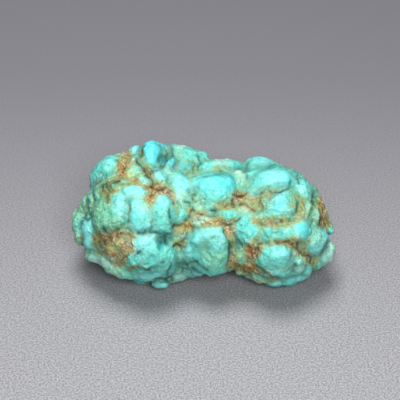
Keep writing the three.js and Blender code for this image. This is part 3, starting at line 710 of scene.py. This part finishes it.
def edges_cut(field, axis):
    """Lattice edges along an axis that the surface cuts, where it cuts them, and which start inside it."""
    head = [slice(None)] * 3
    tail = [slice(None)] * 3
    head[axis] = slice(0, -1)
    tail[axis] = slice(1, None)
    a, b = field[tuple(head)], field[tuple(tail)]
    cut = np.argwhere((a < 0) != (b < 0))
    i, j, k = cut.T
    place = cut.astype(np.float32)
    place[:, axis] += a[i, j, k] / (a[i, j, k] - b[i, j, k])
    return axis, cut, place, a[i, j, k] < 0


def cells_round(cut, axis):
    """The four cells round each cut edge, in turning order."""
    u, v = (axis + 1) % 3, (axis + 2) % 3
    for du, dv in ((0, 0), (1, 0), (1, 1), (0, 1)):
        cell = cut.copy()
        cell[:, u] -= du
        cell[:, v] -= dv
        yield cell


def cell_vertices(cut_edges, cells):
    """A vertex in each cell the surface cuts, amid the cuts of its edges; and the number of each."""
    total = np.zeros(cells + (3,), np.float32)
    count = np.zeros(cells, np.int16)
    for axis, cut, place, _ in cut_edges:
        for cell in cells_round(cut, axis):
            fits = np.all((cell >= 0) & (cell < cells), axis=1)
            where = tuple(cell[fits].T)
            np.add.at(total, where, place[fits])
            np.add.at(count, where, 1)
    used = count > 0
    number = np.full(cells, -1, np.int32)
    number[used] = np.arange(used.sum())
    return total[used] / count[used][:, None], number


def edge_quads(cut_edges, number):
    """A quad round each cut edge, turned to face out."""
    quads = []
    for axis, cut, _, solid_first in cut_edges:
        ring = np.stack([number[tuple(cell.T)] for cell in cells_round(cut, axis)], 1)
        ring[~solid_first] = ring[~solid_first][:, ::-1]
        quads.append(ring)
    return np.concatenate(quads)


# ---- colour and small relief ----


def noise_at(points, scale, octaves=3):
    """Smooth noise of about -1 to 1 at each point, with features of about that scale."""
    values = [noise.fractal(Vector(p), 0.9, 2.1, octaves) for p in points / scale]
    return np.array(values)


def cells_at(points, scale):
    """Thin cracks between cells of about that scale, and the cells' rounded tops; both 0 to 1."""
    found = [noise.voronoi(Vector(p))[0] for p in points / scale]
    first, second = np.array([row[:2] for row in found]).T
    return np.exp(-(second - first) / CRACK_WIDTH), np.clip(1 - first * 1.3, 0, 1)


def openness(lattice, points, normals):
    """1 on open ground, towards 0 in a crease: how soon the air widens above each point."""
    value = 0
    for step in HEIGHTS_ABOVE:
        above = lattice.at(lattice.field, points + normals * step)
        value = value + np.clip(above / step, 0, 1)
    return value / len(HEIGHTS_ABOVE)


def points_near(lump, points, order, margin):
    """Which points are near a lump; order sorts them by X."""
    low, high = lump_box(lump, margin)
    ends = np.searchsorted(points[order, 0], (low[0], high[0]))
    near = order[ends[0]:ends[1]]
    return near[np.all((points[near] > low) & (points[near] < high), axis=1)]


def nearness(distance, softness):
    """How much a knob's tone counts at a distance from it."""
    return np.exp(-np.clip(distance, -0.5, 3) / softness)


def lump_tones(lattice, lumps, points, small):
    """Each point's tone, mixed from the knobs near it; how far it is from a join of two large lumps or
    from bare body; and how much of it is a small lump."""
    bent = lattice.bend(points)
    first = body_distance(bent.T)
    second = np.full(len(points), FAR)
    bare = 0.5 * nearness(first, TONE_SOFTNESS) + 1e-4
    weight = bare.copy()
    tone = weight[:, None] * srgb(*TURQUOISE)
    grain = np.zeros(len(points))
    order = np.argsort(points[:, 0])
    for number, lump in enumerate(lumps + small):
        large = number < len(lumps)
        near = points_near(lump, points, order, LUMP_MARGIN if large else SMALL_MARGIN)
        knobs = lattice.knob_distances(lump, bent[near].T)
        for distance, (_, own_tone) in zip(knobs, lump):
            share = nearness(distance, TONE_SOFTNESS if len(lump) == 1 else LUMP_SOFTNESS)
            tone[near] += share[:, None] * srgb(*own_tone)
            weight[near] += share
        if large:
            whole = joined(knobs, LUMP_FILLET)
            second[near] = np.minimum(second[near], np.maximum(first[near], whole))
            first[near] = np.minimum(first[near], whole)
        else:
            grain[near] += share
    rim = np.clip(second - first, 0, RIM_REACH)
    return tone / weight[:, None], rim * (1 - bare / weight), grain / weight


def facing_front(normals, margin):
    """1 where the stone faces the way of the front face, falling to 0 behind its outline."""
    return np.clip(normals @ OUT_OF_FACE * 4 + margin, 0, 1)


def place_on_face(points):
    """Where on the front face's plane each point is seen: along, up."""
    offset = points - FACE_CENTRE
    share = CAMERA_DISTANCE / (CAMERA_DISTANCE - offset @ OUT_OF_FACE)
    along = CAMERA_ALONG + (offset @ ALONG - CAMERA_ALONG) * share
    up = CAMERA_UP + (offset @ UP_FACE - CAMERA_UP) * share
    return along, up


def patch_reach(face, along, up, half_length, half_width, turn=0):
    """0 at a patch's middle and 1 at its edge, for each (along, up) of the front face."""
    angle = math.radians(turn)
    a = (face[0] - along) * math.cos(angle) + (face[1] - up) * math.sin(angle)
    b = (face[1] - up) * math.cos(angle) - (face[0] - along) * math.sin(angle)
    return np.sqrt((a / half_length) ** 2 + (b / half_width) ** 2)


def line_distance(face, places):
    """Distance from each (along, up) of the front face to a line through places."""
    along, up = face
    nearest = np.full(len(along), FAR)
    for (a0, u0), (a1, u1) in zip(places, places[1:]):
        share = ((along - a0) * (a1 - a0) + (up - u0) * (u1 - u0)) / ((a1 - a0) ** 2 + (u1 - u0) ** 2)
        share = np.clip(share, 0, 1)
        offset = np.hypot(along - a0 - share * (a1 - a0), up - u0 - share * (u1 - u0))
        nearest = np.minimum(nearest, offset)
    return nearest


def covered(tone, share, over):
    """Tones with a share of another laid over them."""
    return tone * (1 - share[:, None]) + share[:, None] * srgb(*over)


def with_patches(points, facing, tone):
    """Tones with the patches over them, and how much each point is in a hollow."""
    face = place_on_face(points)
    ragged = 0.22 * noise_at(points, 0.9, 3)
    hollow = np.zeros(len(points))
    for along, up, half_length, half_width, over, strength, *turn in map(in_mm, PATCHES):
        reach = patch_reach(face, along, up, half_length, half_width, *turn) + ragged
        share = strength * facing * np.clip(1.7 - 1.3 * reach, 0, 1)
        tone = covered(tone, share, over)
        if over in HOLLOW_TONES:
            hollow = np.maximum(hollow, share)
    return tone, hollow


def with_creases(points, facing, tone):
    """Tones with the creases over them, partly matrix veins and partly painted shade; how much each point
    is in a crease, and how deep.
    """
    along, up = place_on_face(points)
    along = along + 0.10 * noise_at(points + 30, 0.8, 2)
    up = up + 0.10 * noise_at(points + 60, 0.8, 2)
    presence = np.clip(0.85 + 0.9 * noise_at(points + 90, 1.3, 2), 0.3, 1) * facing
    crease = np.zeros(len(points))
    depth = np.zeros(len(points))
    for over, width, deep, places in CREASES:
        away = line_distance((along, up), TENTH * np.array(places)) / width
        groove = presence * np.exp(-away**2)
        tone = covered(tone, CREASE_HALO * np.exp(-(away / 3) ** 2) * facing, MOSS)
        tone = covered(tone, CREASE_TONE * groove, over)
        depth = np.maximum(depth, CREASE_DEPTH * deep * groove)
        crease = np.maximum(crease, groove)
    return tone, crease, depth


def drawn(points, normals, tone):
    """Tones with the patches and creases of the front face laid over them, how strongly each point keeps
    its tone, and how deep it lies in a crease or hollow."""
    facing = facing_front(normals, 0.6)
    tone, hollow = with_patches(points, facing, tone)
    tone, crease, depth = with_creases(points, facing, tone)
    return tone, np.maximum(hollow, crease), np.maximum(HOLLOW_DEPTH * hollow, depth)


def stain_at(points, normals):
    """How much brown matrix there is: listed on the front face, by noise elsewhere."""
    face = place_on_face(points)
    cover = np.zeros(len(points))
    for along, up, half_length, half_width, strength, *turn in map(in_mm, STAINS):
        reach = patch_reach(face, along, up, half_length, half_width, *turn)
        cover = np.maximum(cover, strength * np.clip(2 - 1.2 * reach, 0, 1))
    facing = facing_front(normals, 1.0)
    elsewhere = np.clip(noise_at(points, 5.0) * 2.2 - 0.2, 0, 1)
    return cover * facing + elsewhere * (1 - facing)


def smoothness(tone):
    """1 where the stone is blue, which is its smoothest, towards 0 where it is green or cream."""
    return np.clip((tone[:, 2] / tone[:, 1] - 0.75) / 0.25, 0, 1)


def scattered(points, normals, stain, chance, count, sizes, source):
    """Small lumps scattered over the surface, as knobs with tones: earthy where there is matrix."""
    lumps = []
    for i in source.choice(len(points), count, replace=False, p=chance / chance.sum()):
        size = source.uniform(*sizes)
        side = np.cross(normals[i], source.normal(size=3))
        side /= np.linalg.norm(side)
        axes = (side, np.cross(normals[i], side), normals[i])
        radii = (size, size * source.uniform(*SMALL_WIDTH), size * source.uniform(*SMALL_HEIGHT))
        centre = points[i] - normals[i] * size * SMALL_SINK
        tones = MATRIX_TONES if stain[i] > EARTHY_STAIN else STONE_TONES
        lumps.append([((centre, axes, radii), source.choice(tones))])
    return lumps


def add_small_lumps(lattice, lumps, source):
    """Pebbles and then grains, mostly in the creases and where there is matrix."""
    added = []
    share = 1.0
    for count, sizes, fillet in (PEBBLES, GRAINS):
        points, _ = lattice.surface()
        normals = lattice.outward(points)
        rim = lump_tones(lattice, lumps, points, [])[1]
        stain = stain_at(points, normals)
        chance = 0.02 + np.exp(-rim / 0.3) * (0.3 + stain) + 0.3 * np.clip(stain - 0.6, 0, 1)
        found = scattered(points, normals, stain, chance, int(count * share), sizes, source)
        for lump in found:
            lattice.add(lump, fillet)
        added += found
    return added


def small_relief(points, rim, stain, smooth):
    """How far each point is pushed out by swells, cells and grit finer than the knobs."""
    rough = np.clip(0.7 + 0.8 * noise_at(points, 3.5, 2) + 0.5 * stain - 0.7 * smooth, 0.05, 1)
    relief = SWELLS[1] * noise_at(points, SWELLS[0])
    relief += (RIPPLES[1] + ROUGH_RIPPLES * rough) * noise_at(points, RIPPLES[0], 2)
    for number, (scale, top, crack) in enumerate(CELLS):
        cracks, tops = cells_at(points + 20 * number, scale)
        relief += rough * (top * tops - crack * cracks)
    relief += GRIT[1] * stain * noise_at(points + 50, GRIT[0], 2)
    return relief - GROOVE * np.exp(-rim / GROOVE_WIDTH)


def stone_mesh():
    """The stone's points and quads, and the facts that its material reads at each point."""
    source = np.random.default_rng(SEED)
    lumps = all_lumps()
    lattice = Lattice(GRID)
    for lump in lumps:
        lattice.add(lump, KNOB_FILLET)
    small = add_small_lumps(lattice, lumps, source)
    lattice.rest()
    points, quads = lattice.surface()
    normals = lattice.outward(points)
    facts = {"open": openness(lattice, points, normals), "stain": stain_at(points, normals)}
    tone, facts["rim"], facts["grain"] = lump_tones(lattice, lumps, points, small)
    facts["smooth"] = smoothness(tone)
    tone, facts["kept"], depth = drawn(points, normals, tone)
    relief = small_relief(points, facts["rim"], facts["stain"], facts["smooth"])
    points = points + normals * (relief - depth)[:, None]
    points[:, 2] = np.maximum(points[:, 2], 0)
    return points, quads, tone, facts


def fit_to(points, low, high):
    """Scales the stone to the CAD node's length and centres it on that node's box."""
    span = points.max(0) - points.min(0)
    points = points * ((high[0] - low[0]) / MM / span[0])
    middle = (points.max(0) + points.min(0)) / 2
    wanted = (np.array(low) + np.array(high)) / 2 / MM
    shift = wanted - middle
    shift[2] = low[2] / MM - points[:, 2].min()
    return (points + shift) * MM


def quad_mesh(name, points, quads):
    mesh = bpy.data.meshes.new(name)
    mesh.vertices.add(len(points))
    mesh.vertices.foreach_set("co", points.astype(np.float32).ravel())
    mesh.loops.add(quads.size)
    mesh.loops.foreach_set("vertex_index", quads.astype(np.int32).ravel())
    mesh.polygons.add(len(quads))
    mesh.polygons.foreach_set("loop_start", np.arange(0, quads.size, 4, dtype=np.int32))
    mesh.update(calc_edges=True)
    mesh.validate()
    mesh.polygons.foreach_set("use_smooth", np.ones(len(mesh.polygons), bool))
    return mesh


def stone_object(low, high):
    points, quads, tone, facts = stone_mesh()
    mesh = quad_mesh("nugget", fit_to(points, low, high), quads)
    colour = mesh.color_attributes.new("tone", "FLOAT_COLOR", "POINT")
    tone = np.concatenate([tone, np.ones((len(points), 1))], axis=1)
    colour.data.foreach_set("color", tone.astype(np.float32).ravel())
    for name, values in facts.items():
        layer = mesh.attributes.new(name, "FLOAT", "POINT")
        layer.data.foreach_set("value", values.astype(np.float32))
    return placed("nugget", mesh)


# ---- materials ----


class Nodes:
    """Short ways to add and join shader nodes of one material."""

    def __init__(self, name):
        self.material = bpy.data.materials.new(name)
        self.material.use_nodes = True
        self.tree = self.material.node_tree
        self.shader = self.tree.nodes["Principled BSDF"]
        self.place = self.add("ShaderNodeTexCoord").outputs["Object"]

    def add(self, kind, inputs=(), **settings):
        node = self.tree.nodes.new(kind)
        for key, value in settings.items():
            setattr(node, key, value)
        for key, value in dict(inputs).items():
            self.put(node.inputs[key], value)
        return node

    def put(self, socket, value):
        """Joins a socket to another's output, or sets its constant."""
        if isinstance(value, bpy.types.NodeSocket):
            self.tree.links.new(value, socket)
        else:
            socket.default_value = value

    def attribute(self, name, output="Fac"):
        return self.add("ShaderNodeAttribute", attribute_name=name).outputs[output]

    def noise(self, per_mm, detail, roughness, distortion=0.0):
        inputs = {"Vector": self.place, "Scale": per_mm / MM, "Detail": detail}
        inputs |= {"Roughness": roughness, "Distortion": distortion}
        return self.add("ShaderNodeTexNoise", inputs).outputs["Fac"]

    def math(self, operation, a, b, c=0.0):
        return self.add("ShaderNodeMath", {0: a, 1: b, 2: c}, operation=operation).outputs[0]

    def times_plus(self, a, b, c):
        return self.math("MULTIPLY_ADD", a, b, c)

    def rise(self, value, low, high, most=None):
        """0 below low, and 1 or the given most above high, smooth between."""
        inputs = {"Value": value, "From Min": low, "From Max": high}
        node = self.add("ShaderNodeMapRange", inputs, interpolation_type="SMOOTHSTEP")
        result = node.outputs["Result"]
        return result if most is None else self.math("MULTIPLY", result, most)

    def mix(self, share, a, b):
        """One colour laid over another by a share; a plain tone is given as sRGB."""
        b = rgba(b) if isinstance(b, tuple) else b
        return self.add("ShaderNodeMix", {0: share, 6: a, 7: b}, data_type="RGBA").outputs[2]

    def ramp(self, value, stops):
        """A colour ramp from (place, sRGB) stops."""
        node = self.add("ShaderNodeValToRGB", {"Fac": value})
        elements = node.color_ramp.elements
        while len(elements) < len(stops):
            elements.new(0.5)
        for element, (place, tone) in zip(elements, stops):
            element.position = place
            element.color = rgba(tone)
        return node.outputs["Color"]


def clean_stone(n, rim, low):
    """The stone where it has no matrix: greener at the knobs' edges, mottled, flecked, painted shade in
    creases.
    """
    wobble = n.times_plus(n.noise(0.9, 5.0, 0.7), 0.9, -0.45)
    inner = n.rise(n.math("ADD", rim, wobble), 0.0, 0.7)
    edge = n.math("MULTIPLY", n.math("SUBTRACT", 1.0, inner), 0.45)
    colour = n.mix(edge, n.attribute("tone", "Color"), KNOB_EDGE)
    pale = n.rise(n.noise(0.45, 5.0, 0.65, 0.5), 0.5, 0.72, 0.4)
    colour = n.mix(pale, colour, PALE_BLOTCH)
    deep = n.rise(n.noise(0.9, 5.0, 0.7, 0.3), 0.52, 0.68, 0.5)
    colour = n.mix(deep, colour, DEEP_BLOTCH)
    coarse = n.times_plus(n.attribute("smooth"), -0.7, 1.0)
    fine = n.noise(1.6, 4.0, 0.75, 0.2)
    colour = n.mix(n.rise(fine, 0.54, 0.70, coarse), colour, LIGHT_FLECK)
    dark = n.rise(fine, 0.47, 0.32, n.math("MULTIPLY", coarse, 0.8))
    colour = n.mix(dark, colour, DARK_FLECK)
    # painted shade: darker where the stone is shut in by creases
    return n.mix(n.math("MULTIPLY", low, 0.75), colour, CREASE_PAINTED_SHADE)


def matrix_cover(n, rim, low):
    """How much matrix covers each place: most in creases, least on grains, broken into specks."""
    speckle = n.times_plus(n.noise(1.3, 4.0, 0.85, 0.3), 2.4, -1.2)
    cover = n.times_plus(n.math("MINIMUM", rim, 1.0), -0.8, n.attribute("stain"))
    cover = n.times_plus(low, 0.15, cover)
    cover = n.times_plus(n.attribute("grain"), -0.12, cover)
    return n.math("ADD", cover, speckle)


def matrix_colour(n):
    """Brown matrix with gold regions, tinted with each knob's own tone."""
    brown = n.ramp(n.noise(1.8, 2.0, 0.9), BROWN_MATRIX)
    gold = n.ramp(n.noise(2.1, 2.0, 0.9), GOLD_MATRIX)
    matrix = n.mix(n.rise(n.noise(0.35, 2.0, 0.6), 0.48, 0.60), brown, gold)
    return n.mix(0.42, matrix, n.attribute("tone", "Color"))


def turquoise_material():
    n = Nodes("turquoise")
    rim = n.attribute("rim")
    # how shut in each point is: it lays painted shade in the creases and draws matrix into them
    low = n.math("SUBTRACT", 1.0, n.rise(n.attribute("open"), 0.35, 0.88))
    cover = matrix_cover(n, rim, low)
    colour = clean_stone(n, rim, low)
    colour = n.mix(n.rise(cover, 0.05, 0.40, 0.8), colour, MATRIX_FRINGE)
    colour = n.mix(n.rise(cover, 0.30, 0.60, 0.8), colour, MATRIX_EDGE)
    colour = n.mix(n.rise(cover, 0.45, 0.75, 0.95), colour, matrix_colour(n))
    # creases and hollows keep their own tone, painted shade included
    colour = n.mix(n.math("MULTIPLY", n.attribute("kept"), 0.9), colour, n.attribute("tone", "Color"))
    n.put(n.shader.inputs["Base Color"], colour)
    n.put(n.shader.inputs["Roughness"], n.times_plus(n.rise(cover, 0.1, 0.6), 0.35, 0.38))
    strength = n.times_plus(n.attribute("smooth"), -0.5, 0.95)
    bump = n.add("ShaderNodeBump", {"Height": n.noise(2, 3, 0.7), "Strength": strength, "Distance": BUMP})
    n.put(n.shader.inputs["Normal"], bump.outputs["Normal"])
    return n.material


def floor_material():
    n = Nodes("floor")
    # painted shade: the floor darkens away from the camera, standing in for the light's falloff
    back = n.rise(n.add("ShaderNodeSeparateXYZ", {0: n.place}).outputs["Y"], *FLOOR_SHADE_FADE)
    grain = n.math("SUBTRACT", n.rise(n.noise(3.2, 2.0, 0.8), 0.3, 0.7), 0.5)
    grain = n.times_plus(grain, n.times_plus(back, -0.8, 1.0), 0.5)
    near, far = [n.mix(grain, rgba(dark), light) for dark, light in (FLOOR_NEAR, FLOOR_FAR)]
    n.put(n.shader.inputs["Base Color"], n.mix(back, near, far))
    n.put(n.shader.inputs["Roughness"], FLOOR_ROUGHNESS)
    return n.material


# ---- the set ----


def floor():
    half = FLOOR_HALF
    mesh = bpy.data.meshes.new("floor")
    corners = [(-half, -half, 0), (half, -half, 0), (half, half, 0), (-half, half, 0)]
    mesh.from_pydata(corners, [], [(0, 1, 2, 3)])
    mesh.materials.append(floor_material())
    placed("floor", mesh)


def aim(thing, place, direction):
    thing.location = place
    thing.rotation_mode = "QUATERNION"
    thing.rotation_quaternion = Vector(direction).to_track_quat("-Z", "Y")


def camera():
    data = bpy.data.cameras.new("camera")
    data.lens = LENS
    data.sensor_width = SENSOR
    data.clip_start = CLIP_START
    data.clip_end = CLIP_END
    eye = placed("camera", data)
    aim(eye, seen_at(CAMERA_ALONG, CAMERA_UP, CAMERA_DISTANCE) * MM, -OUT_OF_FACE)
    bpy.context.scene.camera = eye


def soft_light(name, place, towards, size, watts):
    data = bpy.data.lights.new(name, "AREA")
    data.shape = "RECTANGLE"
    data.size, data.size_y = size
    data.energy = watts
    aim(placed(name, data), place, Vector(towards) - Vector(place))


def lights():
    soft_light("key", *KEY_LIGHT)
    soft_light("front", *FRONT_LIGHT)
    world = bpy.data.worlds.new("world")
    bpy.context.scene.world = world
    world.use_nodes = True
    background = world.node_tree.nodes["Background"]
    background.inputs["Color"].default_value = WORLD_COLOUR
    background.inputs["Strength"].default_value = WORLD_STRENGTH


def look():
    settings = bpy.context.scene.view_settings
    settings.view_transform = "Standard"
    settings.look = "None"


def main():
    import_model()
    low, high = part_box(NODE)
    stone = stone_object(low, high)
    stone.data.materials.append(turquoise_material())
    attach(stone, "root")
    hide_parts(NODE)
    floor()
    lights()
    camera()
    look()


main()
